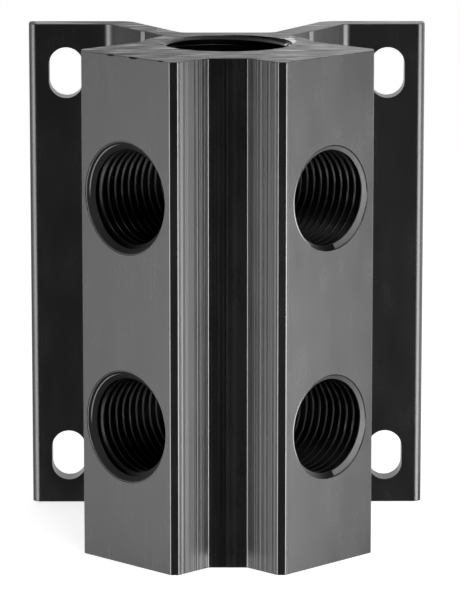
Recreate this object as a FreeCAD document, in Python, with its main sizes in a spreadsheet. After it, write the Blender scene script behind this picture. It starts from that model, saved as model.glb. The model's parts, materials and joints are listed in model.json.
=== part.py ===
# Air manifold block for compressed-air lines: one length of extruded aluminium section, cut to
# length, bored right through, drilled for four side ports and slotted in its wall plate.
# Millimetres. The origin is on the main bore's axis at the bottom cut face, +Z runs up the
# extrusion, the nose faces -Y and the wall that the block is screwed to lies beyond +Y.
# Holes have their thread's inside diameter: the fine helical thread itself isn't cut here.
import os
from math import cos, hypot, radians, sin, tan
import FreeCAD, Part
import Sketcher

SIZES = {
    "block_height": (100.0, "length of extrusion that the block is cut to"),
    "plate_width": (80.8, "width of the wall plate"),
    "plate_thickness": (5.0, "thickness of the wall plate"),
    "wall_distance": (36.5, "main bore's axis to the wall"),
    "tube_diameter": (34.4, "round outside of the tube that the main bore runs in"),
    "nose_distance": (28.5, "main bore's axis to the two nose lands"),
    "port_angle": (45.0, "turn of each port face away from straight ahead, degrees"),
    "port_face_distance": (28.0, "main bore's axis to a port face"),
    "wing_width": (56.6, "width across the two wing tips"),
    "wing_tip_flat": (2.4, "blunt end of a wing"),
    "groove_floor_width": (7.5, "flat floor of the groove in the nose"),
    "groove_depth": (5.8, "nose lands to the groove's floor"),
    "groove_angle": (45.0, "slope of the groove's sides, degrees"),
    "recess_floor_land": (0.1, "tube's round back to the flat floor of the rear recess"),
    "recess_width": (39.6, "rear recess where it opens at the wall"),
    "web_angle": (61.0, "slope of the two webs, degrees"),
    "web_thickness": (5.9, "thickness of a web beside the plate"),
    "web_relief": (0.55, "how much thinner a web is beside the tube"),
    "ledge_distance": (16.6, "wall to the small ledge where a web changes thickness"),
    "ledge_angle": (22.5, "slope of that ledge, degrees"),
    "main_bore": (24.117, "G 3/4 thread, inside diameter"),
    "main_mouth": (25.3, "main bore's chamfer where it meets the cut faces"),
    "main_mouth_cone": (90.0, "full angle of that chamfer, degrees"),
    "port_bore": (18.631, "G 1/2 thread, inside diameter"),
    "left_port_mouth": (22.0, "countersink of the two left ports where it meets the face"),
    "left_port_cone": (90.0, "full angle of that countersink, degrees"),
    "right_port_mouth": (20.4, "chamfer of the two right ports, which is smaller"),
    "right_port_cone": (120.0, "full angle of that chamfer, degrees"),
    "port_pitch": (45.0, "lower to upper side ports"),
    "slot_width": (7.0, "width of a mounting slot"),
    "slot_length": (10.4, "mounting slot from end to end"),
    "slot_span": (65.6, "left to right mounting slots"),
    "slot_rise": (80.0, "lower to upper mounting slots"),
    "nose_radius": (0.4, "rounding of the nose, groove and wing tip corners"),
    "wing_root_radius": (0.8, "fillet between a wing's back and the tube"),
    "notch_radius": (2.0, "fillet between the tube and a web"),
    "web_root_radius": (2.5, "fillet between a web and the plate"),
    "plate_front_radius": (1.6, "rounding of the plate's front corners"),
    "plate_back_radius": (1.0, "rounding of the plate's back corners"),
    "recess_mouth_radius": (4.0, "rounding where the recess opens at the wall"),
    "recess_floor_radius": (2.5, "fillet beside the recess's floor"),
}

# Where a sketch constraint takes hold: the sketch's own axes, and the points of an edge.
ORIGIN, VERTICAL_AXIS = -1, -2
START, END, CENTRE = 1, 2, 3

NEAR = 1e-3


def make_sheet(doc):
    # The driving dimensions. Returns their values by name.
    sheet = doc.addObject("Spreadsheet::Sheet", "sizes")
    for row, (name, (value, note)) in enumerate(SIZES.items(), start=1):
        sheet.set(f"A{row}", name)
        sheet.set(f"B{row}", str(value))
        sheet.set(f"C{row}", note)
        sheet.setAlias(f"B{row}", name)
    return {name: value for name, (value, _) in SIZES.items()}


def new_sketch(body, name, role):
    sketch = body.newObject("Sketcher::SketchObject", name)
    plane = next(item for item in body.Origin.OriginFeatures if item.Role == role)
    sketch.AttachmentSupport = (plane, [""])
    sketch.MapMode = "FlatFace"
    return sketch


def constrain(sketch, kind, *places):
    return sketch.addConstraint(Sketcher.Constraint(kind, *places))


def dimension(sketch, kind, *places, formula):
    # The last place is the starting value. The formula then binds it to the sheet.
    sketch.setExpression(f"Constraints[{constrain(sketch, kind, *places)}]", formula)


def draw_outline(sketch, corners):
    # A closed outline through the corners, given as name -> (x, y). Returns name -> the line that
    # starts at that corner.
    points = [FreeCAD.Vector(x, y, 0) for x, y in corners.values()]
    ends = points[1:] + points[:1]
    lines = [sketch.addGeometry(Part.LineSegment(*pair), False) for pair in zip(points, ends)]
    for line, following in zip(lines, lines[1:] + lines[:1]):
        constrain(sketch, "Coincident", line, END, following, START)
    return dict(zip(corners, lines))


def pad_section(body, sketch, name):
    pad = body.newObject("PartDesign::Pad", name)
    pad.Profile = sketch
    pad.setExpression("Length", "sizes.block_height")
    return pad


def add_tube(body, size):
    # The round tube that the main bore runs in.
    sketch = new_sketch(body, "tube_section", "XY_Plane")
    circle = Part.Circle()
    circle.Radius = size["tube_diameter"] / 2
    ring = sketch.addGeometry(circle, False)
    constrain(sketch, "Coincident", ring, CENTRE, ORIGIN, START)
    dimension(sketch, "Diameter", ring, size["tube_diameter"], formula="sizes.tube_diameter")
    return pad_section(body, sketch, "tube")


def wing_corners(size):
    # The right half of the front. The wing's back runs on inside the tube, or the web where the
    # wing is deep, to the line that leaves the bore's axis at the web's slope.
    turn, slope = radians(size["port_angle"]), radians(size["web_angle"])
    reach, nose, tip = size["port_face_distance"], size["nose_distance"], size["wing_width"] / 2
    floor_edge = size["groove_floor_width"] / 2
    groove_edge = floor_edge + size["groove_depth"] / tan(radians(size["groove_angle"]))
    tip_front = (tip * sin(turn) - reach) / cos(turn)
    tip_back = tip_front + size["wing_tip_flat"]
    back_distance = tip * cos(turn) + tip_back * sin(turn)
    inside = back_distance / cos(slope - turn)
    return {
        "floor": (0, size["groove_depth"] - nose),
        "groove_side": (floor_edge, size["groove_depth"] - nose),
        "land": (groove_edge, -nose),
        "port_face": ((reach - nose * cos(turn)) / sin(turn), -nose),
        "tip": (tip, tip_front),
        "back": (tip, tip_back),
        "inside": (inside * cos(slope), inside * sin(slope)),
        "axis": (0, 0),
    }


def add_wing(body, size, corners):
    sketch = new_sketch(body, "wing_section", "XY_Plane")
    line = draw_outline(sketch, corners)
    constrain(sketch, "Coincident", line["axis"], START, ORIGIN, START)
    for name in ("floor", "land"):
        constrain(sketch, "Horizontal", line[name])
    for name in ("axis", "tip"):
        constrain(sketch, "Vertical", line[name])
    constrain(sketch, "Perpendicular", line["port_face"], line["back"])
    dimension(sketch, "Distance", line["floor"], size["groove_floor_width"] / 2,
              formula="sizes.groove_floor_width / 2")
    dimension(sketch, "DistanceY", line["groove_side"], END, line["groove_side"], START,
              size["groove_depth"], formula="sizes.groove_depth")
    dimension(sketch, "DistanceY", line["land"], START, ORIGIN, START, size["nose_distance"],
              formula="sizes.nose_distance")
    dimension(sketch, "Angle", line["port_face"], radians(size["port_angle"]),
              formula="sizes.port_angle")
    dimension(sketch, "Angle", line["groove_side"], -radians(size["groove_angle"]),
              formula="-sizes.groove_angle")
    dimension(sketch, "Angle", line["inside"], radians(size["web_angle"] - 180),
              formula="sizes.web_angle - 180")
    dimension(sketch, "Distance", ORIGIN, START, line["port_face"], size["port_face_distance"],
              formula="sizes.port_face_distance")
    dimension(sketch, "DistanceX", ORIGIN, START, line["tip"], START, size["wing_width"] / 2,
              formula="sizes.wing_width / 2")
    dimension(sketch, "Distance", line["tip"], size["wing_tip_flat"],
              formula="sizes.wing_tip_flat")
    return pad_section(body, sketch, "wing")


def web_corners(size):
    # The right half of the back: rear recess, wall plate and the web that carries it. The web's
    # front runs on inside the tube to the point nearest to the bore's axis.
    slope, ledge = radians(size["web_angle"]), radians(size["ledge_angle"])
    wall, mouth = size["wall_distance"], size["recess_width"] / 2
    floor = size["tube_diameter"] / 2 + size["recess_floor_land"]
    back_distance = mouth * sin(slope) - wall * cos(slope)
    front_distance = back_distance + size["web_thickness"]
    relief_distance = front_distance - size["web_relief"]
    plate_front = wall - size["plate_thickness"]
    ledge_y = wall - size["ledge_distance"]
    ledge_length = size["web_relief"] / sin(slope - ledge)

    def web_x(distance, y):
        return (distance + y * cos(slope)) / sin(slope)

    ledge_x = web_x(front_distance, ledge_y)
    return {
        "axis": (0, 0),
        "recess_floor": (0, floor),
        "recess_side": (web_x(back_distance, floor), floor),
        "wall_face": (mouth, wall),
        "plate_end": (size["plate_width"] / 2, wall),
        "plate_face": (size["plate_width"] / 2, plate_front),
        "web_face": (web_x(front_distance, plate_front), plate_front),
        "ledge": (ledge_x, ledge_y),
        "relief": (ledge_x - ledge_length * cos(ledge), ledge_y - ledge_length * sin(ledge)),
        "inside": (relief_distance * sin(slope), -relief_distance * cos(slope)),
    }


def add_web(body, size, corners):
    sketch = new_sketch(body, "web_and_plate_section", "XY_Plane")
    line = draw_outline(sketch, corners)
    constrain(sketch, "Coincident", line["axis"], START, ORIGIN, START)
    for name in ("recess_floor", "wall_face", "plate_face"):
        constrain(sketch, "Horizontal", line[name])
    for name in ("axis", "plate_end"):
        constrain(sketch, "Vertical", line[name])
    for name in ("web_face", "relief"):
        constrain(sketch, "Parallel", line["recess_side"], line[name])
    constrain(sketch, "Perpendicular", line["relief"], line["inside"])
    dimension(sketch, "Distance", line["axis"], corners["recess_floor"][1],
              formula="sizes.tube_diameter / 2 + sizes.recess_floor_land")
    dimension(sketch, "Angle", line["recess_side"], radians(size["web_angle"]),
              formula="sizes.web_angle")
    dimension(sketch, "DistanceX", ORIGIN, START, line["wall_face"], START,
              size["recess_width"] / 2, formula="sizes.recess_width / 2")
    dimension(sketch, "DistanceY", ORIGIN, START, line["wall_face"], START,
              size["wall_distance"], formula="sizes.wall_distance")
    dimension(sketch, "DistanceX", ORIGIN, START, line["plate_end"], START,
              size["plate_width"] / 2, formula="sizes.plate_width / 2")
    dimension(sketch, "Distance", line["plate_end"], size["plate_thickness"],
              formula="sizes.plate_thickness")
    dimension(sketch, "Distance", line["web_face"], START, line["recess_side"],
              size["web_thickness"], formula="sizes.web_thickness")
    dimension(sketch, "Distance", line["relief"], START, line["recess_side"],
              size["web_thickness"] - size["web_relief"],
              formula="sizes.web_thickness - sizes.web_relief")
    dimension(sketch, "DistanceY", line["ledge"], START, line["wall_face"], START,
              size["ledge_distance"], formula="sizes.ledge_distance")
    dimension(sketch, "Angle", line["ledge"], radians(size["ledge_angle"] - 180),
              formula="sizes.ledge_angle - 180")
    return pad_section(body, sketch, "web_and_plate")


def add_slots(body, size):
    # The lower and the upper mounting slot of the right half, cut back from the plate's front.
    sketch = new_sketch(body, "slot_layout", "XZ_Plane")
    sketch.setExpression(".AttachmentOffset.Base.z",
                         "sizes.plate_thickness - sizes.wall_distance")
    across, radius = size["slot_span"] / 2, size["slot_width"] / 2
    straight = size["slot_length"] / 2 - radius
    upward = FreeCAD.Vector(0, 0, 1)
    for side, sign in ((-1, "-"), (1, "+")):
        middle = size["block_height"] / 2 + side * size["slot_rise"] / 2
        ends = []
        for end, turn in ((1, 0), (-1, 180)):
            centre = FreeCAD.Vector(across, middle + end * straight, 0)
            circle = Part.Circle(centre, upward, radius)
            arc = Part.ArcOfCircle(circle, radians(turn), radians(turn + 180))
            ends.append(sketch.addGeometry(arc, False))
            dimension(sketch, "DistanceX", ORIGIN, START, ends[-1], CENTRE, across,
                      formula="sizes.slot_span / 2")
            dimension(sketch, "DistanceY", ORIGIN, START, ends[-1], CENTRE, centre.y,
                      formula=f"(sizes.block_height {sign} sizes.slot_rise) / 2 "
                              f"{'+' if end > 0 else '-'} (sizes.slot_length - sizes.slot_width) / 2")
        top, bottom = ends
        for flank, start, end in ((-1, (top, END), (bottom, START)), (1, (bottom, END), (top, START))):
            low, high = middle - straight, middle + straight
            first, last = (high, low) if flank < 0 else (low, high)
            wall = sketch.addGeometry(Part.LineSegment(
                FreeCAD.Vector(across + flank * radius, first, 0),
                FreeCAD.Vector(across + flank * radius, last, 0)), False)
            constrain(sketch, "Tangent", wall, START, *start)
            constrain(sketch, "Tangent", wall, END, *end)
        constrain(sketch, "Equal", top, bottom)
        dimension(sketch, "Radius", top, radius, formula="sizes.slot_width / 2")
    pocket = body.newObject("PartDesign::Pocket", "slots")
    pocket.Profile = sketch
    pocket.setExpression("Length", "sizes.plate_thickness")
    return pocket


def add_left_half(body, *features):
    mirrored = body.newObject("PartDesign::Mirrored", "left_half")
    mirrored.Originals = list(features)
    plane = next(item for item in body.Origin.OriginFeatures if item.Role == "YZ_Plane")
    mirrored.MirrorPlane = (plane, [""])
    body.Tip = mirrored
    return mirrored


def upright_edges(shape, wanted):
    # Names of the edges that run the whole height at a place in plan that is wanted.
    names = []
    for index, edge in enumerate(shape.Edges, start=1):
        low, high = edge.Vertexes[0].Point, edge.Vertexes[-1].Point
        upright = hypot(high.x - low.x, high.y - low.y) < NEAR < abs(high.z - low.z)
        if upright and wanted(abs(low.x), low.y):
            names.append(f"Edge{index}")
    return names


def round_corners(body, name, wanted, radius_name):
    base = body.Tip
    edges = upright_edges(base.Shape, wanted)
    if not edges:
        return
    fillet = body.newObject("PartDesign::Fillet", name)
    fillet.Base = (base, edges)
    fillet.setExpression("Radius", f"sizes.{radius_name}")
    body.Document.recompute()


def at_corners(*corners):
    return lambda x, y: any(hypot(x - cx, y - cy) < NEAR for cx, cy in corners)


def at_wing_root(size, wing):
    # Where a wing's back, away from its tip, runs into the tube or into a web.
    turn = radians(size["port_angle"])
    tip_x, tip_y = wing["back"]

    def wanted(x, y):
        across = (x - tip_x) * cos(turn) + (y - tip_y) * sin(turn)
        return abs(across) < NEAR < hypot(x - tip_x, y - tip_y)
    return wanted


def at_notch(size, web):
    # Where the tube meets the front of a web. A deep wing covers this corner.
    radius, slope = size["tube_diameter"] / 2, radians(size["web_angle"])
    web_x, web_y = web["relief"]

    def wanted(x, y):
        across = (x - web_x) * sin(slope) - (y - web_y) * cos(slope)
        return abs(across) < NEAR and abs(hypot(x, y) - radius) < NEAR
    return wanted


def round_section(body, size, wing, web):
    round_corners(body, "wing_roots", at_wing_root(size, wing), "wing_root_radius")
    round_corners(body, "notches", at_notch(size, web), "notch_radius")
    round_corners(body, "nose_corners",
                  at_corners(*(wing[name] for name in ("groove_side", "land", "port_face", "tip", "back"))),
                  "nose_radius")
    round_corners(body, "web_roots", at_corners(web["web_face"]), "web_root_radius")
    round_corners(body, "plate_front_corners", at_corners(web["plate_face"]), "plate_front_radius")
    round_corners(body, "plate_back_corners", at_corners(web["plate_end"]), "plate_back_radius")
    round_corners(body, "recess_mouth", at_corners(web["wall_face"]), "recess_mouth_radius")
    round_corners(body, "recess_floor", at_corners(web["recess_side"]), "recess_floor_radius")


def drill(body, name, sketch, bore, mouth, cone):
    # A hole into the solid from the sketch's circles, with a conical mouth.
    hole = body.newObject("PartDesign::Hole", name)
    hole.Profile = sketch
    body.Document.recompute()
    hole.DrillPoint = "Flat"
    hole.HoleCutType = "Countersink"
    hole.HoleCutCustomValues = True
    hole.setExpression("Diameter", f"sizes.{bore}")
    hole.setExpression("HoleCutDiameter", f"sizes.{mouth}")
    hole.setExpression("HoleCutCountersinkAngle", f"sizes.{cone}")
    return hole


def add_main_bore(body, size):
    # Bored and tapped right through, with the same chamfer at both cut faces.
    sketch = new_sketch(body, "main_bore_layout", "XY_Plane")
    sketch.setExpression(".AttachmentOffset.Base.z", "sizes.block_height")
    circle = Part.Circle()
    circle.Radius = size["main_bore"] / 2
    ring = sketch.addGeometry(circle, False)
    constrain(sketch, "Coincident", ring, CENTRE, ORIGIN, START)
    dimension(sketch, "Diameter", ring, size["main_bore"], formula="sizes.main_bore")
    hole = drill(body, "main_bore", sketch, "main_bore", "main_mouth", "main_mouth_cone")
    hole.DepthType = "ThroughAll"
    body.Document.recompute()

    radius = size["main_bore"] / 2
    rim = [f"Edge{index}" for index, edge in enumerate(hole.Shape.Edges, start=1)
           if hasattr(edge.Curve, "Radius") and abs(edge.Curve.Radius - radius) < NEAR
           and abs(edge.CenterOfMass.z) < NEAR]
    chamfer = body.newObject("PartDesign::Chamfer", "lower_mouth")
    chamfer.Base = (hole, rim)
    chamfer.ChamferType = "Distance and Angle"
    chamfer.setExpression("Size", "(sizes.main_mouth - sizes.main_bore) / 2")
    chamfer.setExpression("Angle", "90 - sizes.main_mouth_cone / 2")
    body.Document.recompute()


def add_side_ports(body, size, side, sign):
    # An upper and a lower port, square to one port face and aimed at the main bore's axis.
    sketch = new_sketch(body, f"{side}_port_layout", "XZ_Plane")
    sketch.AttachmentOffset = FreeCAD.Placement(
        FreeCAD.Vector(0, 0, 0), FreeCAD.Rotation(FreeCAD.Vector(0, 1, 0), 0))
    sketch.setExpression(".AttachmentOffset.Rotation.Angle", f"{sign} * sizes.port_angle")
    sketch.setExpression(".AttachmentOffset.Base.x",
                         f"{sign} * sizes.port_face_distance * sin(sizes.port_angle * 1deg)")
    sketch.setExpression(".AttachmentOffset.Base.z",
                         "sizes.port_face_distance * cos(sizes.port_angle * 1deg)")
    for end, word in ((-1, "-"), (1, "+")):
        height = (size["block_height"] + end * size["port_pitch"]) / 2
        circle = Part.Circle(FreeCAD.Vector(0, height, 0), FreeCAD.Vector(0, 0, 1),
                             size["port_bore"] / 2)
        ring = sketch.addGeometry(circle, False)
        constrain(sketch, "PointOnObject", ring, CENTRE, VERTICAL_AXIS)
        dimension(sketch, "DistanceY", ORIGIN, START, ring, CENTRE, height,
                  formula=f"(sizes.block_height {word} sizes.port_pitch) / 2")
        dimension(sketch, "Diameter", ring, size["port_bore"], formula="sizes.port_bore")
    hole = drill(body, f"{side}_ports", sketch, "port_bore", f"{side}_port_mouth", f"{side}_port_cone")
    hole.DepthType = "Dimension"
    hole.setExpression("Depth", "sizes.port_face_distance")
    body.Document.recompute()


def build():
    doc = FreeCAD.newDocument("air_manifold")
    size = make_sheet(doc)
    body = doc.addObject("PartDesign::Body", "manifold_block")
    body.Label = "manifold_block"
    wing_plan, web_plan = wing_corners(size), web_corners(size)
    add_tube(body, size)
    wing = add_wing(body, size, wing_plan)
    web = add_web(body, size, web_plan)
    slots = add_slots(body, size)
    doc.recompute()
    add_left_half(body, wing, web, slots)
    doc.recompute()
    round_section(body, size, wing_plan, web_plan)
    add_main_bore(body, size)
    add_side_ports(body, size, "left", -1)
    add_side_ports(body, size, "right", 1)
    return doc, [body]


def check(doc, bodies):
    failed = [item.Name for item in doc.Objects if {"Invalid", "Error"} & set(item.State)]
    if failed:
        raise RuntimeError(f"failed features: {failed}")
    for body in bodies:
        shape = body.Shape
        if shape.isNull() or not shape.isValid() or len(shape.Solids) != 1:
            raise RuntimeError(f"{body.Label} isn't one valid solid")
        print(body.Label, "volume", round(shape.Volume, 1), "box", shape.BoundBox)


def export(bodies):
    os.makedirs("parts", exist_ok=True)
    for body in bodies:
        body.Shape.exportStep(f"parts/{body.Label}.step")


document, solids = build()
check(document, solids)
export(solids)
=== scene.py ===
# Looks of the air manifold block: the extruded block with its cut edges broken and its threads
# cut, the black anodised finish, and the studio that it stands in. Metres, in the part's frame.
import json
from math import atan2, ceil, cos, degrees, pi, radians, sin, tan

import bmesh
import bpy
from bpy.props import FloatProperty, FloatVectorProperty, IntProperty, PointerProperty
from mathutils import Matrix, Vector


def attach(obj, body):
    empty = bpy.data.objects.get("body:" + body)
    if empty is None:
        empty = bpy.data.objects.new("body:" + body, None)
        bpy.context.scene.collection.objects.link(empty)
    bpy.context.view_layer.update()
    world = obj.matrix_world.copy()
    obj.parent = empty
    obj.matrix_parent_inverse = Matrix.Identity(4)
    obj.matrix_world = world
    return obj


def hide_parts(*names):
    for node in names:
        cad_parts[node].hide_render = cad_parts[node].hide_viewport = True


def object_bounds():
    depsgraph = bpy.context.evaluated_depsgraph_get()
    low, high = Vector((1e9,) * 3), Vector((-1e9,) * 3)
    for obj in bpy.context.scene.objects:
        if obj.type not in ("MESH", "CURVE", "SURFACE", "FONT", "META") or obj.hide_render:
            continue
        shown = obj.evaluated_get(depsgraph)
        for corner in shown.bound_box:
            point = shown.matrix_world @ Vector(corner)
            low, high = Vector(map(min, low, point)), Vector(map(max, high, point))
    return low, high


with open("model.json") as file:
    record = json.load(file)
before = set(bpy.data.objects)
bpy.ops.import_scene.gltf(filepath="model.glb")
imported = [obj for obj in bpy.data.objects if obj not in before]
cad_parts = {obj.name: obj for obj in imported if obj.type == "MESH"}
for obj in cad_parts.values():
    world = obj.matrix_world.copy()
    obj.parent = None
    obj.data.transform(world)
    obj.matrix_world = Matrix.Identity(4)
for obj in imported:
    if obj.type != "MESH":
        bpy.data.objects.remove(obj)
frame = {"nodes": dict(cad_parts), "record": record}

bl_info = {
    "name": "Air manifold block",
    "version": (1, 0, 0),
    "blender": (4, 5, 0),
    "location": "View3D > Sidebar > Manifold",
    "description": "Cuts the threads of an air manifold block, gives it its finish and stages it",
    "category": "Object",
}

NODE = "manifold_block"
BODY = "root"
SKIN, CORNER, CUT_END, THREAD, CREST, LEFT_MOUTH, RIGHT_MOUTH = range(7)
CAD_LOW, CAD_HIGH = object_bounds()
MIDDLE = (CAD_LOW + CAD_HIGH) / 2


class PortSizes(bpy.types.PropertyGroup):
    """Sizes of the threaded holes that the solid model leaves plain"""
    pitch: FloatProperty(
        name="Thread pitch", description="Crest to crest, 14 to the inch",
        default=0.0254 / 14, precision=5, unit="LENGTH")
    side_thread: FloatProperty(
        name="Side port thread", description="Outside diameter of the half-inch pipe thread",
        default=0.020955, precision=5, unit="LENGTH")
    main_thread: FloatProperty(
        name="Main bore thread", description="Outside diameter of the three-quarter-inch pipe thread",
        default=0.026441, precision=5, unit="LENGTH")
    main_thread_length: FloatProperty(
        name="Main thread length", description="Thread cut into each end of the main bore",
        default=0.0172, precision=5, unit="LENGTH")
    side_thread_start: FloatProperty(
        name="Side thread start", description="Main bore's axis to the first turn of a side thread",
        default=0.0045, precision=5, unit="LENGTH")
    flank_angle: FloatProperty(
        name="Flank angle", description="Slope of each thread flank from square to the axis",
        default=radians(27.5), subtype="ANGLE")
    root_radius: FloatProperty(
        name="Root radius", description="Rounding at the bottom of the thread groove",
        default=0.00025, precision=5, unit="LENGTH")
    face_distance: FloatProperty(
        name="Port face", description="Main bore's axis to a sloping port face",
        default=0.028, precision=5, unit="LENGTH")
    left_mouth: FloatProperty(
        name="Left mouth", description="Diameter of the left ports' countersink at the face",
        default=0.022, precision=5, unit="LENGTH")
    left_cone: FloatProperty(
        name="Left cone", description="Full angle of the left ports' countersink",
        default=radians(90), subtype="ANGLE")
    right_mouth: FloatProperty(
        name="Right mouth", description="Diameter of the right ports' chamfer at the face",
        default=0.0204, precision=5, unit="LENGTH")
    right_cone: FloatProperty(
        name="Right cone", description="Full angle of the right ports' chamfer",
        default=radians(120), subtype="ANGLE")
    main_mouth: FloatProperty(
        name="Main mouth", description="Diameter of the main bore's chamfer at the cut faces",
        default=0.0253, precision=5, unit="LENGTH")
    main_cone: FloatProperty(
        name="Main cone", description="Full angle of the main bore's chamfer",
        default=radians(90), subtype="ANGLE")
    left_thread_out: FloatProperty(
        name="Left thread out", description="Turns that a left port's thread runs past its face",
        default=1.42, min=0.75, max=1.75)
    right_thread_out: FloatProperty(
        name="Right thread out", description="Turns that a right port's thread runs past its face",
        default=1.1, min=0.75, max=1.75)
    main_thread_out: FloatProperty(
        name="Main thread out", description="Turns that the main thread runs past each cut face",
        default=0.75, min=0.75, max=1.75)
    slot_place: FloatProperty(
        name="Slot place", description="Block's middle to the middle of a slot",
        default=0.0328, precision=5, unit="LENGTH")
    slot_depth: FloatProperty(
        name="Slot depth", description="Main bore's axis to the middle of the slotted plate",
        default=0.034, precision=5, unit="LENGTH")
    steps: IntProperty(
        name="Steps a turn", description="Straight steps in one turn of a thread or a bore",
        default=72, min=24)


class FinishSizes(bpy.types.PropertyGroup):
    """Edges, worn places and colours of the anodised surface"""
    broken_edge: FloatProperty(
        name="Broken edge", description="Width of the rubbed edge round each cut face",
        default=0.00014, precision=5, unit="LENGTH")
    mouth_edge: FloatProperty(
        name="Mouth edge", description="Width of the rubbed edge round each port",
        default=0.00012, precision=5, unit="LENGTH")
    skin_colour: FloatVectorProperty(
        name="Skin", description="Dyed oxide on the extruded faces",
        default=(0.0018, 0.0018, 0.0019), size=3, subtype="COLOR")
    end_colour: FloatVectorProperty(
        name="Cut end", description="Dyed oxide on the sawn faces",
        default=(0.03, 0.03, 0.0305), size=3, subtype="COLOR")
    thread_colour: FloatVectorProperty(
        name="Thread", description="Dyed oxide inside the machined holes",
        default=(0.0015, 0.0015, 0.0016), size=3, subtype="COLOR")
    # The crests' paler colour is painted light: it stands in for the light that the crest lands catch.
    crest_painted_light_colour: FloatVectorProperty(
        name="Thread crest", description="Oxide rubbed thin on the thread crests",
        default=(0.042, 0.042, 0.0424), size=3, subtype="COLOR")
    left_mouth_colour: FloatVectorProperty(
        name="Left mouth", description="Dyed oxide on the left ports' turned countersinks",
        default=(0.01, 0.01, 0.0102), size=3, subtype="COLOR")
    right_mouth_colour: FloatVectorProperty(
        name="Right mouth", description="Thin oxide on the right ports' turned chamfers",
        default=(0.14, 0.14, 0.141), size=3, subtype="COLOR")
    corner_colour: FloatVectorProperty(
        name="Corner", description="Thin oxide on the sharp corners of the nose and the groove",
        default=(0.12, 0.12, 0.121), size=3, subtype="COLOR")
    roughness: FloatProperty(
        name="Roughness", description="Satin of the extruded faces",
        default=0.32, min=0.02, max=1.0)
    end_roughness: FloatProperty(
        name="End roughness", description="Satin of the sawn faces",
        default=0.45, min=0.02, max=1.0)
    mouth_roughness: FloatProperty(
        name="Mouth roughness", description="Satin of the side ports' turned mouths",
        default=0.6, min=0.02, max=1.0)
    thread_roughness: FloatProperty(
        name="Thread roughness", description="Satin inside the machined holes",
        default=0.3, min=0.02, max=1.0)
    thread_gloss: FloatProperty(
        name="Thread gloss", description="Specular level inside the machined holes",
        default=0.25, min=0.0, max=1.0)
    # Also, dimmed, the colour of the painted highlight crescent in the left ports.
    bare_and_highlight_colour: FloatVectorProperty(
        name="Bare metal", description="Aluminium where the oxide has chipped off",
        default=(0.75, 0.75, 0.76), size=3, subtype="COLOR")
    chip_place: FloatVectorProperty(
        name="Chip", description="Middle of the bare patch on the main bore's upper rim",
        default=(0.0124, 0.004, CAD_HIGH.z), size=3, subtype="TRANSLATION")
    chip_reach: FloatVectorProperty(
        name="Chip reach", description="How far the bare patch reaches along each axis",
        default=(0.0016, 0.007, 0.002), size=3, subtype="XYZ")
    # The crescent is a painted highlight, not a form.
    highlight_radius: FloatProperty(
        name="Crescent radius", description="Of the thin bright crescent in each left port's cone",
        default=0.01042, precision=5, unit="LENGTH")
    drawing: FloatProperty(
        name="Drawing", description="How much more the lines along the extrusion spread light sideways",
        default=0.7, min=0.0, max=1.0)
    line_depth: FloatProperty(
        name="Line depth", description="Height of the drawn lines",
        default=0.00022, precision=6, unit="LENGTH")
    saw_depth: FloatProperty(
        name="Saw depth", description="Height of the saw marks on the cut faces",
        default=0.00009, precision=6, unit="LENGTH")
    refraction: FloatProperty(
        name="Refractive index", description="Of the sealed oxide layer",
        default=1.6, min=1.0, max=2.5)


class StageSizes(bpy.types.PropertyGroup):
    """Camera and lamps"""
    camera_place: FloatVectorProperty(
        name="Camera", description="Where the camera stands",
        default=(-0.00294, -0.77355, 0.19733), size=3, subtype="TRANSLATION")
    camera_pitch: FloatProperty(
        name="Pitch", description="How far the camera looks down",
        default=radians(10.869), subtype="ANGLE")
    camera_turn: FloatProperty(
        name="Turn", description="How far the camera turns to the block's right",
        default=radians(0.255), subtype="ANGLE")
    lens: FloatProperty(
        name="Lens", description="Focal length for a 36 mm long side, in millimetres",
        default=238.4, min=10)
    floor_size: FloatProperty(
        name="Floor", description="Side of the square floor",
        default=6.0, unit="LENGTH")
    floor_white: FloatProperty(
        name="Floor white", description="How white the floor looks in the block's shadow",
        default=0.8, min=0.0, max=1.0)


def sizes():
    return bpy.context.scene.manifold_ports


def finish_sizes():
    return bpy.context.scene.manifold_finish


def stage_sizes():
    return bpy.context.scene.manifold_stage


# Meshes

def new_object(name, mesh):
    obj = bpy.data.objects.new(name, mesh)
    bpy.context.scene.collection.objects.link(obj)
    return obj


def mesh_from(bm, name):
    mesh = bpy.data.meshes.new(name)
    bm.to_mesh(mesh)
    bm.free()
    return mesh


def turned_solid(profile, steps):
    # A closed solid of revolution about +Z from a profile of (radius, height) that starts and
    # ends on the axis.
    bm = bmesh.new()
    corners = [bm.verts.new((radius, 0.0, height)) for radius, height in profile]
    outline = [bm.edges.new(pair) for pair in zip(corners, corners[1:])]
    bmesh.ops.spin(bm, geom=corners + outline, cent=(0, 0, 0), axis=(0, 0, 1), dvec=(0, 0, 0),
                   angle=2 * pi, steps=steps, use_merge=True)
    bmesh.ops.remove_doubles(bm, verts=bm.verts, dist=1e-6)
    bmesh.ops.recalc_face_normals(bm, faces=bm.faces)
    return bm


def thread_profile(minor, major, port):
    # Section of a thread groove, as (radius, height) about its middle: open towards the bore,
    # with sloping flanks and a rounded root.
    slope, rounding = port.flank_angle, port.root_radius
    crest, reach, arc_steps = port.pitch / 6, 0.0001, 4
    half = (port.pitch - crest) / 2
    tip = major - rounding
    turns = [-pi / 2 + slope + (pi - 2 * slope) * part / arc_steps for part in range(arc_steps + 1)]
    root = [(tip + rounding * cos(turn), rounding * sin(turn)) for turn in turns]
    inner_half = half + reach * tan(slope)
    return [(minor - reach, -inner_half), *root, (minor - reach, inner_half)]


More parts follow.
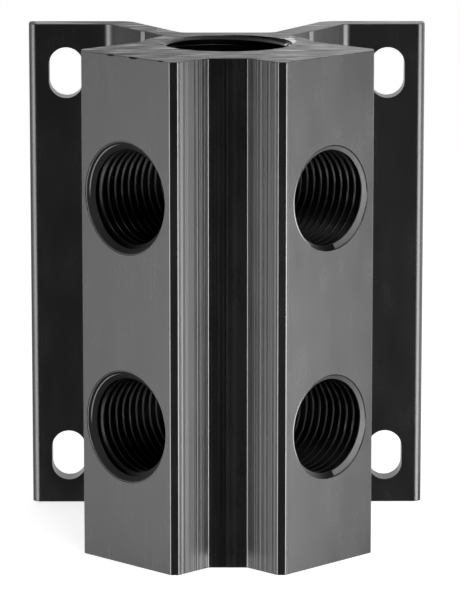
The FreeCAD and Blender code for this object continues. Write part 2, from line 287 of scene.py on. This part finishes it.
def thread_cutter(minor, major, start, end, port, runout=0.0):
    # A right-hand coil round +Z that ends at height end and begins about height start, where it
    # runs out over the length runout. One turn is spun and then repeated.
    pitch = port.pitch
    turns = ceil((end - start) / pitch)
    start = end - turns * pitch
    bm = bmesh.new()
    ring = [bm.verts.new((radius, 0.0, start + height))
            for radius, height in thread_profile(minor, major, port)]
    loop = [bm.edges.new((ring[place - 1], ring[place])) for place in range(len(ring))]
    bmesh.ops.spin(bm, geom=ring + loop, cent=(0, 0, 0), axis=(0, 0, 1), dvec=(0, 0, pitch / port.steps),
                   angle=2 * pi, steps=port.steps)
    first = bm.verts[:] + bm.edges[:] + bm.faces[:]
    for turn in range(1, turns):
        copy = bmesh.ops.duplicate(bm, geom=first)["geom"]
        moved = [part for part in copy if isinstance(part, bmesh.types.BMVert)]
        bmesh.ops.translate(bm, verts=moved, vec=(0, 0, turn * pitch))
    bmesh.ops.remove_doubles(bm, verts=bm.verts, dist=1e-6)
    bmesh.ops.holes_fill(bm, edges=[edge for edge in bm.edges if edge.is_boundary], sides=0)
    if runout:
        drawn_in = (major - minor) * 1.2
        for vert in bm.verts:
            fade = max(0.0, 1 - (vert.co.z - start) / runout)
            vert.co.xy *= 1 - fade * drawn_in / vert.co.xy.length
    bmesh.ops.recalc_face_normals(bm, faces=bm.faces)
    return bm


def side_port_frame(mount):
    # From a port's own frame, with +Z out of its mouth and its origin on the main bore's axis.
    height = Vector((0, 0, mount["pos_m"][2]))
    turn = Vector(mount["axis"]).to_track_quat("Z", "Y").to_matrix().to_4x4()
    return Matrix.Translation(height) @ turn


def main_port_frame(mount):
    # The same at an end of the main bore, with its origin at the block's mid height.
    turn = Matrix.Identity(4) if mount["axis"][2] > 0 else Matrix.Rotation(pi, 4, "X")
    return Matrix.Translation((0, 0, MIDDLE.z)) @ turn


def is_side(mount):
    return abs(mount["axis"][2]) < 0.5


def side_mouth(mount):
    # Radius and full cone angle of a side port's mouth.
    port = sizes()
    if mount["axis"][0] < 0:
        return port.left_mouth / 2, port.left_cone
    return port.right_mouth / 2, port.right_cone


def hole_cutters(mount):
    # What a drill, a countersink and a tap take out of one threaded hole.
    port, edge = sizes(), finish_sizes().mouth_edge
    play = 0.00002
    bore = mount["dims"]["r_mm"] / 1000 + play
    if is_side(mount):
        place, face, inner = side_port_frame(mount), port.face_distance, 0.001
        mouth, cone = side_mouth(mount)
        turns_out = port.left_thread_out if mount["axis"][0] < 0 else port.right_thread_out
        major, start, runout = port.side_thread / 2, port.side_thread_start, 0.0
    else:
        place, face, inner = main_port_frame(mount), (CAD_HIGH.z - CAD_LOW.z) / 2, -0.001
        mouth, cone, turns_out = port.main_mouth / 2, port.main_cone, port.main_thread_out
        major, start, runout = port.main_thread / 2, face - port.main_thread_length, port.pitch
    slope = tan(cone / 2)
    outside = 0.002
    profile = [(0, inner), (bore, inner), (bore, face - (mouth - bore) / slope - play),
               (mouth - edge, face - edge / slope - play), (mouth, face - edge * 0.9 - play),
               (mouth + edge, face + play), (mouth + outside, face + outside * 2), (0, face + outside * 2)]
    drill = turned_solid(profile, port.steps)
    tap = thread_cutter(bore, major, start, face + port.pitch * turns_out, port, runout)
    meshes = []
    for kind, bm in (("drill", drill), ("tap", tap)):
        bm.transform(place)
        meshes.append(mesh_from(bm, f"{mount['name']}_{kind}"))
    return meshes


def plain_block():
    # The solid model's mesh, merged, with flat faces made whole and the edges of both cut faces
    # rubbed.
    bm = bmesh.new()
    bm.from_mesh(frame["nodes"][NODE].data)
    bmesh.ops.remove_doubles(bm, verts=bm.verts, dist=1e-7)
    bmesh.ops.dissolve_limit(bm, angle_limit=radians(0.05), verts=bm.verts, edges=bm.edges)
    level, square = 1e-6, 0.001

    def rim(edge):
        flat = [abs(face.normal.z) > 1 - square for face in edge.link_faces]
        steep = [abs(face.normal.z) < square for face in edge.link_faces]
        return any(flat) and any(steep)

    edges = [edge for edge in bm.edges if len(edge.link_faces) == 2 and rim(edge)
             and abs(edge.verts[0].co.z - edge.verts[1].co.z) < level
             and min(edge.verts[0].co.z - CAD_LOW.z, CAD_HIGH.z - edge.verts[0].co.z) < level]
    bmesh.ops.bevel(bm, geom=edges, offset=finish_sizes().broken_edge, offset_type="OFFSET", segments=2,
                    profile=0.5, affect="EDGES", clamp_overlap=False, material=-1)
    bmesh.ops.triangulate(bm, faces=bm.faces)
    return bm


def cut(target, cutters):
    # Takes the cutters out of the target, all in one stack, and keeps the result as its mesh.
    tools = [new_object(mesh.name, mesh) for mesh in cutters]
    for tool in tools:
        change = target.modifiers.new(tool.name, "BOOLEAN")
        change.operation = "DIFFERENCE"
        change.solver = "MANIFOLD"
        change.object = tool
    depsgraph = bpy.context.evaluated_depsgraph_get()
    result = bpy.data.meshes.new_from_object(target.evaluated_get(depsgraph))
    target.modifiers.clear()
    old, target.data = target.data, result
    bpy.data.meshes.remove(old)
    for tool, mesh in zip(tools, cutters):
        bpy.data.objects.remove(tool)
        bpy.data.meshes.remove(mesh)


def nicks():
    # Three small breaks in the top edge of the left port face, as a unit ball's frame each.
    reach = sizes().face_distance * 2 ** 0.5
    frames = []
    breaks = ((0.0224, 0.0022, 0.00036), (0.018, 0.0028, 0.0004), (0.0128, 0.0014, 0.00025))
    for across, length, depth in breaks:
        place = Matrix.Translation((-across, across - reach, CAD_HIGH.z))
        size = Matrix.Diagonal((length / 2, depth, depth, 1))
        frames.append(place @ Matrix.Rotation(radians(-45), 4, "Z") @ size)
    return frames


def inside(nick, place):
    margin = 1.05
    return (nick.inverted() @ place).length < margin


def nick_cutters():
    cutters = []
    for nick in nicks():
        bm = bmesh.new()
        bmesh.ops.create_icosphere(bm, subdivisions=2, radius=1)
        bm.transform(nick)
        cutters.append(mesh_from(bm, "nick"))
    return cutters


def side_port_kind(face, mount):
    # What a face of a side port is, or nothing where the face isn't inside that port.
    port, edge = sizes(), finish_sizes().mouth_edge
    axis = Vector(mount["axis"])
    out = face.center - Vector((0, 0, mount["pos_m"][2]))
    along = out.dot(axis)
    sideways = out - along * axis
    away, lean = sideways.length, face.normal.dot(axis)
    left, bore = axis.x < 0, mount["dims"]["r_mm"] / 1000
    mouth, cone = side_mouth(mount)
    past_rim, port_face = mouth + edge * 1.3, 0.99
    if along < 0 or away > past_rim or lean > port_face:
        return None
    if away > mouth - edge:
        return THREAD if left or sideways.x > 0 else CORNER
    # The cone and the first turn's outer flank share the mouth's finish, which gives the photo's light
    # band. A flank runs deeper towards the axis, so its depth is read at the mouth's radius.
    depth = port.face_distance - along - (mouth - away) * tan(port.flank_angle)
    faces_out, first_turn = 0.6, 0.0012
    if lean > faces_out and depth < min((mouth - bore) / tan(cone / 2), first_turn):
        return LEFT_MOUTH if left else RIGHT_MOUTH
    on_bore, faces_in = 0.00006, 0.3
    return CREST if abs(away - bore) < on_bore and abs(lean) < faces_in else THREAD


def in_slot(face):
    # The side walls of the wall slots: level faces inside the plate, within a slot's reach.
    place, port = face.center, sizes()
    half_plate, half_slot, level = 0.0024, 0.0036, 0.01
    near = abs(place.y - port.slot_depth) < half_plate and abs(abs(place.x) - port.slot_place) < half_slot
    return near and abs(face.normal.y) < level


def surface_kind(face, holes):
    # The extruded skin, one of its sharp front corners, a sawn end or part of a hole, a slot or a
    # break, by where the face lies and which way it looks.
    place, upright = face.center, abs(face.normal.z)
    for mount in filter(is_side, holes):
        kind = side_port_kind(face, mount)
        if kind is not None:
            return kind
    main_rim, cut_face = sizes().main_mouth / 2 + finish_sizes().mouth_edge * 1.3, 0.99
    if place.xy.length < main_rim and upright < cut_face:
        return THREAD
    if in_slot(face) or any(inside(nick, place) for nick in nicks()):
        return THREAD
    rubbed_edge = 0.3
    if upright > rubbed_edge:
        return CUT_END
    heading, grid = degrees(atan2(abs(face.normal.x), -face.normal.y)), 45
    turned = abs((heading + grid / 2) % grid - grid / 2)
    rounded, wings_end = 5, -0.0087
    return CORNER if turned > rounded and place.y < wings_end else SKIN


# Materials

def add(nodes, kind, place, **values):
    node = nodes.new(kind)
    node.location = place
    for name, value in values.items():
        setattr(node, name, value)
    return node


def feed(tree, node, values):
    # Links each socket and sets each plain value, in the order of the node's inputs.
    for value, entry in zip(values, node.inputs):
        if isinstance(value, bpy.types.NodeSocket):
            tree.links.new(value, entry)
        else:
            entry.default_value = value
    return node


def calculate(tree, operation, place, *values):
    return feed(tree, add(tree.nodes, "ShaderNodeMath", place, operation=operation), values).outputs[0]


def vector_step(tree, operation, place, *values):
    return feed(tree, add(tree.nodes, "ShaderNodeVectorMath", place, operation=operation), values)


def ramp(tree, value, start, end, low, high, place, **choices):
    node = add(tree.nodes, "ShaderNodeMapRange", place, **choices)
    for socket, number in (("From Min", start), ("From Max", end), ("To Min", low), ("To Max", high)):
        node.inputs[socket].default_value = number
    tree.links.new(value, node.inputs["Value"])
    return node.outputs[0]


def principled(material):
    return material.node_tree.nodes["Principled BSDF"]


def new_group(name, inputs, outputs):
    tree = bpy.data.node_groups.new(name, "ShaderNodeTree")
    for direction, sockets in (("INPUT", inputs), ("OUTPUT", outputs)):
        for socket, kind in sockets.items():
            tree.interface.new_socket(socket, in_out=direction, socket_type=kind)
    return tree, add(tree.nodes, "NodeGroupInput", (-900, 0)), add(tree.nodes, "NodeGroupOutput", (500, 0))


def drawn_lines():
    # Fine lines of uneven strength. The vector is stretched along them before it comes in. Height
    # and Tone swing about nothing and about one.
    name = "drawn_lines"
    if name in bpy.data.node_groups:
        return bpy.data.node_groups[name]
    tree, entry, leave = new_group(name, {"Vector": "NodeSocketVector", "Contrast": "NodeSocketFloat"},
                                   {"Height": "NodeSocketFloat", "Tone": "NodeSocketFloat"})
    nodes, links = tree.nodes, tree.links
    fine = add(nodes, "ShaderNodeTexNoise", (-600, 200))
    broad = add(nodes, "ShaderNodeTexNoise", (-600, -200))
    for noise, scale, detail, roughness in ((fine, 1.0, 2.0, 0.6), (broad, 0.17, 1.0, 0.5)):
        noise.inputs["Scale"].default_value = scale
        noise.inputs["Detail"].default_value = detail
        noise.inputs["Roughness"].default_value = roughness
        links.new(entry.outputs["Vector"], noise.inputs["Vector"])
    strength = ramp(tree, broad.outputs["Fac"], start=0.35, end=0.65, low=0.25, high=1.0,
                    place=(-400, -200))
    swing = calculate(tree, "SUBTRACT", (-400, 200), fine.outputs["Fac"], 0.5)
    lines = calculate(tree, "MULTIPLY", (-100, 100), swing, strength)
    tone = calculate(tree, "MULTIPLY_ADD", (200, -100), lines, entry.outputs["Contrast"], 1.0)
    links.new(lines, leave.inputs["Height"])
    links.new(tone, leave.inputs["Tone"])
    return tree


def handling():
    # Faint clouds in the oxide. Cloud swings about one.
    name = "handling"
    if name in bpy.data.node_groups:
        return bpy.data.node_groups[name]
    tree, entry, leave = new_group(name, {"Vector": "NodeSocketVector", "Contrast": "NodeSocketFloat"},
                                   {"Cloud": "NodeSocketFloat"})
    noise = add(tree.nodes, "ShaderNodeTexNoise", (-600, 0))
    noise.inputs["Scale"].default_value = 1.0
    noise.inputs["Detail"].default_value = 4.0
    tree.links.new(entry.outputs["Vector"], noise.inputs["Vector"])
    swing = calculate(tree, "SUBTRACT", (-300, 0), noise.outputs["Fac"], 0.5)
    cloud = calculate(tree, "MULTIPLY_ADD", (0, 0), swing, entry.outputs["Contrast"], 1.0)
    tree.links.new(cloud, leave.inputs["Cloud"])
    return tree


def stretched(tree, scale, place):
    # The piece's own coordinates, stretched to so many cells per metre.
    coordinates = add(tree.nodes, "ShaderNodeTexCoord", (place[0] - 400, place[1]))
    mapping = add(tree.nodes, "ShaderNodeMapping", (place[0] - 200, place[1]))
    mapping.inputs["Scale"].default_value = scale
    tree.links.new(coordinates.outputs["Object"], mapping.inputs["Vector"])
    return mapping.outputs["Vector"]


def use_group(tree, group, vector, contrast, place):
    node = add(tree.nodes, "ShaderNodeGroup", place, node_tree=group)
    node.inputs["Contrast"].default_value = contrast
    tree.links.new(vector, node.inputs["Vector"])
    return node


def oxide(name, colour, roughness, cells, depth, contrast=0.5):
    # Dyed oxide with fine lines of so many cells per metre and so deep, and faint clouds.
    cloud_cells, cloud_contrast = (220, 220, 90), 0.35
    material = bpy.data.materials.new(name)
    material.use_nodes = True
    tree, shader = material.node_tree, principled(material)
    shader.inputs["IOR"].default_value = finish_sizes().refraction
    drawn = use_group(tree, drawn_lines(), stretched(tree, cells, (-700, 200)), contrast, (-650, 200))
    cloudy = use_group(tree, handling(), stretched(tree, cloud_cells, (-700, -300)), cloud_contrast,
                       (-650, -300))
    both = calculate(tree, "MULTIPLY", (-450, 0), drawn.outputs["Tone"], cloudy.outputs["Cloud"])
    tint = add(tree.nodes, "ShaderNodeVectorMath", (-250, 200), operation="SCALE")
    tint.inputs[0].default_value = colour
    tree.links.new(both, tint.inputs["Scale"])
    tree.links.new(tint.outputs[0], shader.inputs["Base Color"])
    satin = calculate(tree, "MULTIPLY", (-250, 0), roughness, cloudy.outputs["Cloud"])
    tree.links.new(satin, shader.inputs["Roughness"])
    bump = add(tree.nodes, "ShaderNodeBump", (-250, -200))
    bump.inputs["Distance"].default_value = depth
    tree.links.new(drawn.outputs["Height"], bump.inputs["Height"])
    tree.links.new(bump.outputs[0], shader.inputs["Normal"])
    return material, drawn, satin


def object_axes(tree, place):
    coordinates = add(tree.nodes, "ShaderNodeTexCoord", place)
    axes = add(tree.nodes, "ShaderNodeSeparateXYZ", (place[0] + 200, place[1]))
    tree.links.new(coordinates.outputs["Object"], axes.inputs[0])
    return axes.outputs


def groove_masks(tree, place):
    # First: one in the nose groove, where the drawn lines are stronger, and nothing outside it.
    # Second: how satin the groove is, least on its floor and at the foot of its sides.
    x, y = place
    mouth, front, side, floor_satin = (0.0093, 0.0097), (-0.0222, -0.0215), (0.0046, 0.0085), 0.885
    axes = object_axes(tree, place)
    half = calculate(tree, "ABSOLUTE", (x + 400, y), axes["X"])
    narrow = ramp(tree, half, *mouth, 1.0, 0.0, (x + 600, y))
    ahead = ramp(tree, axes["Y"], *front, 1.0, 0.0, (x + 600, y - 200))
    satin = ramp(tree, half, *side, floor_satin, 1.0, (x + 600, y - 400))
    return calculate(tree, "MULTIPLY", (x + 800, y), narrow, ahead), satin


def recolour(tree, shader, colour, mask):
    # Another colour where the mask is one.
    mix = add(tree.nodes, "ShaderNodeMix", (-100, 500), data_type="RGBA")
    mix.inputs["B"].default_value = (*colour, 1)
    tree.links.new(mask, mix.inputs["Factor"])
    tree.links.new(shader.inputs["Base Color"].links[0].from_socket, mix.inputs["A"])
    tree.links.new(mix.outputs["Result"], shader.inputs["Base Color"])


def chipped(tree, shader):
    # A ragged patch of bare metal on the main bore's upper rim, at its right end.
    finish = finish_sizes()
    axes = add(tree.nodes, "ShaderNodeTexCoord", (-1700, 600)).outputs["Object"]
    offset = vector_step(tree, "SUBTRACT", (-1500, 600), axes, finish.chip_place)
    scaled = vector_step(tree, "DIVIDE", (-1300, 600), offset.outputs[0], finish.chip_reach)
    away = vector_step(tree, "LENGTH", (-1200, 600), scaled.outputs[0])
    near = ramp(tree, away.outputs["Value"], start=0.3, end=1.2, low=0.25, high=-0.3,
                place=(-1100, 600))
    ragged = add(tree.nodes, "ShaderNodeTexNoise", (-1100, 900))
    ragged.inputs["Scale"].default_value = 900
    ragged.inputs["Detail"].default_value = 3
    tree.links.new(axes, ragged.inputs["Vector"])
    total = calculate(tree, "ADD", (-900, 700), near, ragged.outputs["Fac"])
    bare = ramp(tree, total, start=0.5, end=0.58, low=0.0, high=1.0, place=(-700, 700))
    recolour(tree, shader, finish.bare_and_highlight_colour, bare)
    tree.links.new(bare, shader.inputs["Metallic"])


def anodised_skin():
    finish = finish_sizes()
    cells, lines_outside, satin_outside, tone_swing = (1300, 1300, 2.5), 0.07, 0.82, 2.2
    material, drawn, satin = oxide("anodised_skin", finish.skin_colour, finish.roughness, cells,
                                   finish.line_depth)
    tree, shader = material.node_tree, principled(material)
    shader.inputs["Anisotropic"].default_value = finish.drawing
    groove, foot = groove_masks(tree, (-1900, -700))
    depth = ramp(tree, groove, 0.0, 1.0, lines_outside, 1.0, (-700, -600))
    lines = calculate(tree, "MULTIPLY", (-450, -300), drawn.outputs["Height"], depth)
    tree.links.new(lines, tree.nodes["Bump"].inputs["Height"])
    tone = calculate(tree, "MULTIPLY_ADD", (-450, -700), lines, tone_swing, 1.0)
    rough = add(tree.nodes, "ShaderNodeMix", (-700, -900))
    rough.inputs["A"].default_value = satin_outside
    tree.links.new(groove, rough.inputs["Factor"])
    tree.links.new(foot, rough.inputs["B"])
    uneven = calculate(tree, "MULTIPLY", (-250, -900), rough.outputs["Result"], tone)
    tree.links.new(calculate(tree, "MULTIPLY", (-100, 0), satin, uneven), shader.inputs["Roughness"])
    return material


def sawn_end():
    # Saw marks from side to side, and more satin on the left than on the right.
    finish = finish_sizes()
    cells, contrast, half_width, left_satin, right_satin = (130, 1500, 900), 6.0, 0.028, 1.25, 0.75
    material, drawn, satin = oxide("anodised_cut_end", finish.end_colour, finish.end_roughness, cells,
                                   finish.saw_depth, contrast)
    tree, shader = material.node_tree, principled(material)
    across = ramp(tree, object_axes(tree, (-1500, -700))["X"], -half_width, half_width, left_satin,
                  right_satin, (-900, -700))
    uneven = calculate(tree, "MULTIPLY", (-450, -700), across, drawn.outputs["Tone"])
    tree.links.new(calculate(tree, "MULTIPLY", (-100, 0), satin, uneven), shader.inputs["Roughness"])
    chipped(tree, shader)
    return material


def machined(name, colour, roughness, metallic=0.0):
    # Cut with a drill, a countersink or a tap, so it has no drawn lines.
    cells, faint = (500, 500, 500), 0.05
    material = oxide(name, colour, roughness, cells, finish_sizes().line_depth * faint)[0]
    principled(material).inputs["Metallic"].default_value = metallic
    return material


def left_mouth(holes):
    # The left ports' cones, with a painted highlight in the upper left of each: a thin bright crescent
    # in dimmed bare-metal colour. The modulo brings the upper port's heights down to the lower's, and they
    # count from that port's middle.
    finish, highlight_brightness = finish_sizes(), 0.4
    material = machined("left_port_mouth", finish.left_mouth_colour, finish.mouth_roughness)
    tree, shader = material.node_tree, principled(material)
    shader.inputs["Specular IOR Level"].default_value = finish.thread_gloss
    heights = [mount["pos_m"][2] for mount in holes if is_side(mount)]
    lower, spacing, radius = min(heights), max(heights) - min(heights), finish.highlight_radius
    coordinates = add(tree.nodes, "ShaderNodeTexCoord", (-2000, 700))
    sideways = Vector((1, -1, 0)).normalized()
    across = vector_step(tree, "DOT_PRODUCT", (-1800, 800), coordinates.outputs["Object"], sideways)
    across = across.outputs["Value"]
    height = calculate(tree, "MODULO", (-1800, 500), object_axes(tree, (-2200, 500))["Z"], spacing)
    up = calculate(tree, "SUBTRACT", (-1600, 500), height, lower)
    flat = feed(tree, add(tree.nodes, "ShaderNodeCombineXYZ", (-1400, 700)), (across, up))
    away = vector_step(tree, "LENGTH", (-1200, 700), flat.outputs[0]).outputs["Value"]
    soft, inside_edge, outside_edge = 0.00008, radius - 0.00004, radius + 0.00002
    inner = ramp(tree, away, inside_edge - soft, inside_edge, 0.0, 1.0, (-1000, 900))
    outer = ramp(tree, away, outside_edge, outside_edge + soft, 1.0, 0.0, (-1000, 700))
    leftward = ramp(tree, across, start=-0.0045, end=-0.0018, low=1.0, high=0.0, place=(-1000, 500))
    upward = ramp(tree, up, start=-0.0012, end=0.0012, low=0.0, high=1.0, place=(-1000, 300))
    ring = calculate(tree, "MULTIPLY", (-800, 800), inner, outer)
    corner = calculate(tree, "MULTIPLY", (-800, 400), leftward, upward)
    painted_highlight = calculate(tree, "MULTIPLY", (-600, 600), ring, corner)
    # Paints the highlight: a paler colour inside the crescent.
    recolour(tree, shader, [highlight_brightness * value for value in finish.bare_and_highlight_colour], painted_highlight)
    return material


def block_materials(holes):
    # In the order of the surface kinds.
    finish = finish_sizes()
    corner_cells, corner_lines, crest_polish = (900, 900, 4), 0.15, 0.6
    corner = oxide("anodised_corner", finish.corner_colour, finish.roughness, corner_cells,
                   finish.line_depth * corner_lines)[0]
    principled(corner).inputs["Metallic"].default_value = 1.0
    thread = machined("anodised_thread", finish.thread_colour, finish.thread_roughness)
    principled(thread).inputs["Specular IOR Level"].default_value = finish.thread_gloss
    chipped(thread.node_tree, principled(thread))
    # The crests: the thread's oxide in a paler colour, painted to show the light on the crest lands.
    crest = machined("anodised_crest", finish.crest_painted_light_colour, finish.thread_roughness * crest_polish)
    right = machined("right_port_mouth", finish.right_mouth_colour, finish.mouth_roughness, metallic=1.0)
    return anodised_skin(), corner, sawn_end(), thread, crest, left_mouth(holes), right


# Pieces

class MANIFOLD_OT_block(bpy.types.Operator):
    """Makes the block: the solid's outline with rubbed edges, drilled, countersunk and tapped"""
    bl_idname = "manifold.block"
    bl_label = "Threaded block"

    def execute(self, context):
        block = new_object("threaded_block", mesh_from(plain_block(), "threaded_block"))
        holes = [mount for mount in frame["record"]["mounts"] if mount["kind"] == "threaded_hole"]
        cutters = [hole_cutters(mount) for mount in holes]
        cut(block, [drill for drill, tap in cutters] + nick_cutters())
        cut(block, [tap for drill, tap in cutters])
        block.data.materials.clear()
        for material in block_materials(holes):
            block.data.materials.append(material)
        for face in block.data.polygons:
            face.material_index = surface_kind(face, holes)
        # The solid's own normals don't fit the cut mesh.
        block.data.attributes.remove(block.data.attributes["custom_normal"])
        block.data.shade_smooth()
        block.data.set_sharp_from_angle(angle=radians(32))
        weighted = block.modifiers.new("flat_faces_lead", "WEIGHTED_NORMAL")
        weighted.keep_sharp = True
        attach(block, BODY)
        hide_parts(NODE)
        return {"FINISHED"}


def add_camera():
    stage = stage_sizes()
    data = bpy.data.cameras.new("camera")
    data.lens = stage.lens
    camera = new_object("camera", data)
    camera.location = stage.camera_place
    camera.rotation_euler = (pi / 2 - stage.camera_pitch, 0, -stage.camera_turn)
    bpy.context.scene.camera = camera


def add_lamp(name, side, rise, width, height, distance, level):
    # A soft box seen from the block's middle at side degrees round from the front and rise
    # degrees up, and width by height degrees large. Level is how bright its face is.
    side, rise = radians(side), radians(rise)
    out = Vector((sin(side) * cos(rise), -cos(side) * cos(rise), sin(rise)))
    data = bpy.data.lights.new(name, "AREA")
    data.shape = "RECTANGLE"
    data.size = 2 * distance * tan(radians(width / 2))
    data.size_y = 2 * distance * tan(radians(height / 2))
    data.energy = level * data.size * data.size_y * pi
    lamp = new_object(name, data)
    lamp.location = MIDDLE * Vector((0, 0, 1)) + out * distance
    lamp.rotation_euler = (-out).to_track_quat("-Z", "Y").to_euler()
    lamp.visible_camera = False


def add_floor():
    # Pale, with the block's soft shadow, and white to the camera.
    stage = stage_sizes()
    bm = bmesh.new()
    bmesh.ops.create_grid(bm, x_segments=1, y_segments=1, size=stage.floor_size / 2)
    floor = new_object("floor", mesh_from(bm, "floor"))
    floor.visible_glossy = False
    floor.visible_shadow = False
    material = bpy.data.materials.new("pale_floor")
    material.use_nodes = True
    tree = material.node_tree
    shader = principled(material)
    shader.inputs["Base Color"].default_value = (0.8, 0.8, 0.8, 1)
    shader.inputs["Roughness"].default_value = 0.9
    shader.inputs["Emission Color"].default_value = (1, 1, 1, 1)
    seen = add(tree.nodes, "ShaderNodeLightPath", (-600, 0))
    white = calculate(tree, "MULTIPLY", (-300, -100), seen.outputs["Is Camera Ray"], stage.floor_white)
    tree.links.new(white, shader.inputs["Emission Strength"])
    floor.data.materials.append(material)


def add_world():
    # White behind the block and to the camera, and dark where the camera stands.
    world = bpy.data.worlds.new("studio")
    world.use_nodes = True
    bpy.context.scene.world = world
    tree = world.node_tree
    place = add(tree.nodes, "ShaderNodeTexCoord", (-1100, 0))
    axes = add(tree.nodes, "ShaderNodeSeparateXYZ", (-900, 0))
    tree.links.new(place.outputs["Generated"], axes.inputs[0])
    fade = ramp(tree, axes.outputs["Y"], start=0.1, end=0.9, low=0.0, high=1.0, place=(-700, 0),
                interpolation_type="SMOOTHSTEP")
    seen = add(tree.nodes, "ShaderNodeLightPath", (-700, 300))
    level = calculate(tree, "MAXIMUM", (-400, 100), seen.outputs["Is Camera Ray"], fade)
    background = tree.nodes["Background"]
    tree.links.new(level, background.inputs["Strength"])
    background.inputs["Color"].default_value = (1, 1, 1, 1)


class MANIFOLD_OT_stage(bpy.types.Operator):
    """Makes the floor, the lamps, the white surroundings and the camera"""
    bl_idname = "manifold.stage"
    bl_label = "Studio"

    def execute(self, context):
        context.scene.view_settings.view_transform = "Standard"
        add_camera()
        add_floor()
        add_world()
        add_lamp("left_box", side=-57, rise=-11, width=37, height=30, distance=0.4, level=7.5)
        add_lamp("left_wing", side=-93, rise=-4, width=26, height=36, distance=0.4, level=1.6)
        add_lamp("right_box", side=60, rise=-11, width=41, height=30, distance=0.35, level=10.5)
        add_lamp("right_wing", side=112, rise=0, width=30, height=36, distance=0.4, level=2.0)
        add_lamp("key", side=30, rise=48, width=40, height=28, distance=0.4, level=4.0)
        return {"FINISHED"}


class MANIFOLD_PT_panel(bpy.types.Panel):
    """Lists the pieces and the stage"""
    bl_label = "Manifold"
    bl_space_type = "VIEW_3D"
    bl_region_type = "UI"
    bl_category = "Manifold"

    def draw(self, context):
        for operator in STEPS:
            self.layout.operator(operator.bl_idname)


STEPS = (MANIFOLD_OT_block, MANIFOLD_OT_stage)
GROUPS = {"manifold_ports": PortSizes, "manifold_finish": FinishSizes, "manifold_stage": StageSizes}


def register():
    for kind in (*GROUPS.values(), *STEPS, MANIFOLD_PT_panel):
        bpy.utils.register_class(kind)
    for name, group in GROUPS.items():
        setattr(bpy.types.Scene, name, PointerProperty(type=group))


def unregister():
    for name in GROUPS:
        delattr(bpy.types.Scene, name)
    for kind in reversed((*GROUPS.values(), *STEPS, MANIFOLD_PT_panel)):
        bpy.utils.unregister_class(kind)


def main():
    register()
    bpy.ops.manifold.block()
    bpy.ops.manifold.stage()


if __name__ == "__main__":
    main()
